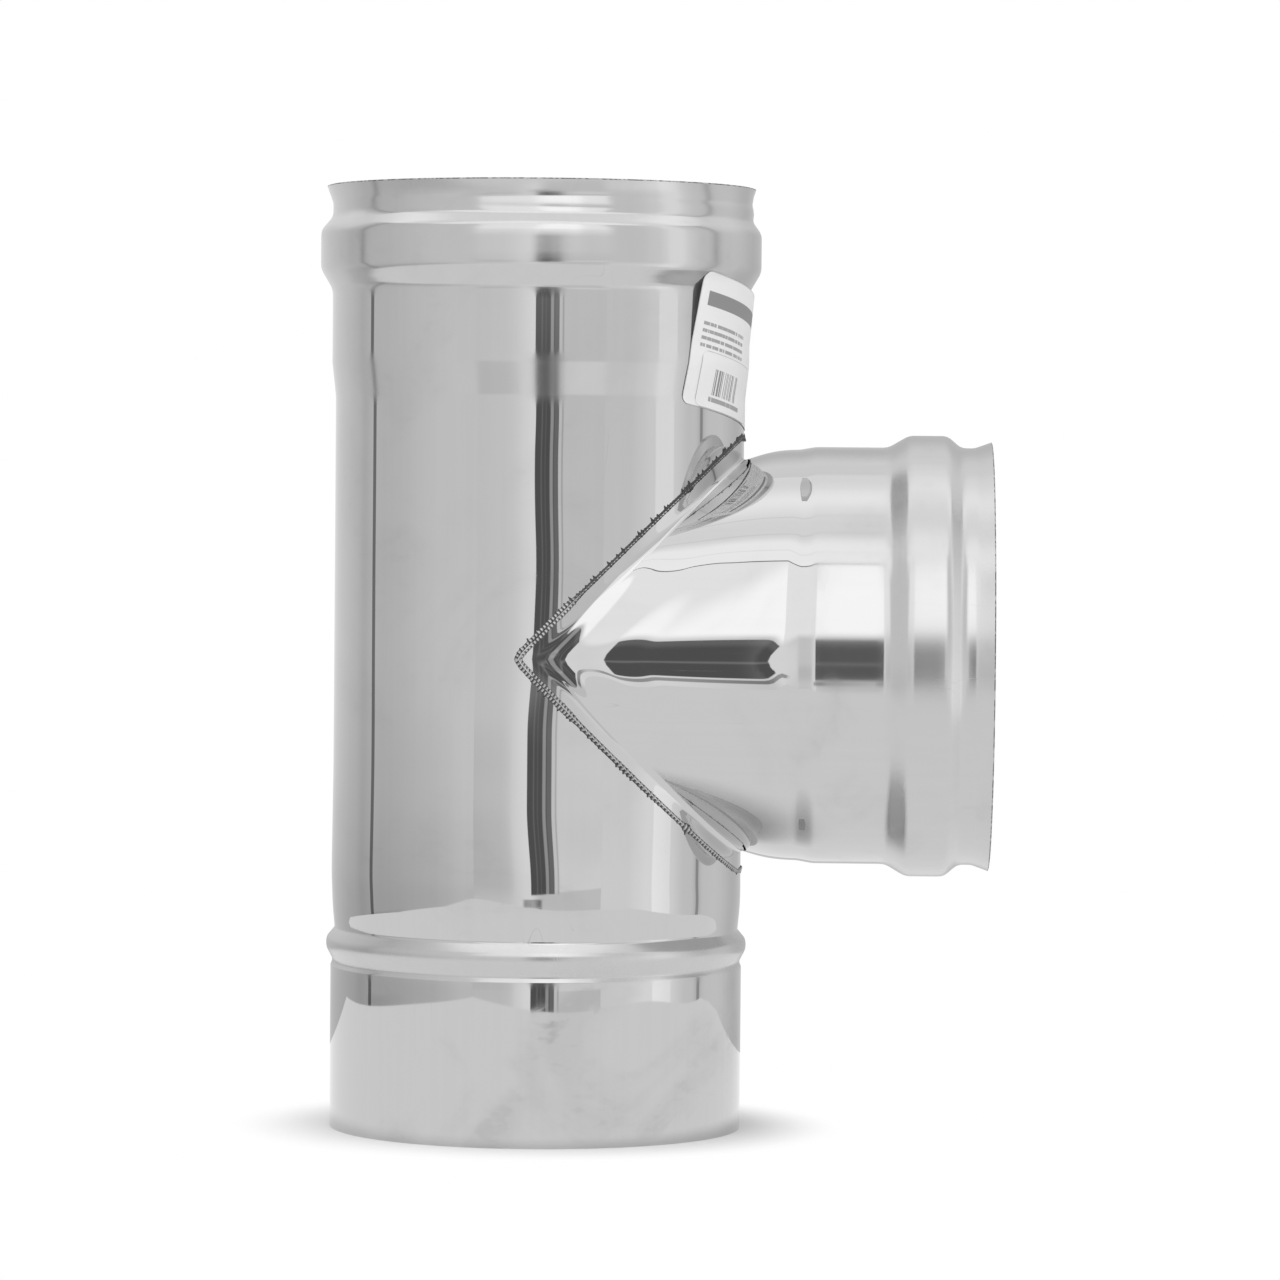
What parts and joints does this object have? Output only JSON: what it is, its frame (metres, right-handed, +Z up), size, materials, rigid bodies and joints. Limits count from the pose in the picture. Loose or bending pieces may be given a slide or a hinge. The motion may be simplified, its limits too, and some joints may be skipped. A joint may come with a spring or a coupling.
{
  "type": "equal tee",
  "caption": "Equal tee for a single-wall flue line: straight sheet tube with spigot and socket, and a side socket on a welded saddle flange.",
  "frame": {"origin": "centre of the spigot's open end, on the straight tube's axis", "axes": "+Z up the straight tube from spigot to socket, +X out along the branch"},
  "size_m": [0.2122, 0.139, 0.2967],
  "materials": {
    "bright_stainless": "bright annealed, mirror-like",
    "weld_metal": "rippled, satin",
    "label_paper": "smooth coated"
  },
  "bodies": {
    "root": {"run_tube": "bright_stainless", "branch_tube": "bright_stainless", "saddle_weld": "weld_metal", "product_label": "label_paper", "barcode_label": "label_paper"}
  },
  "joints": []
}
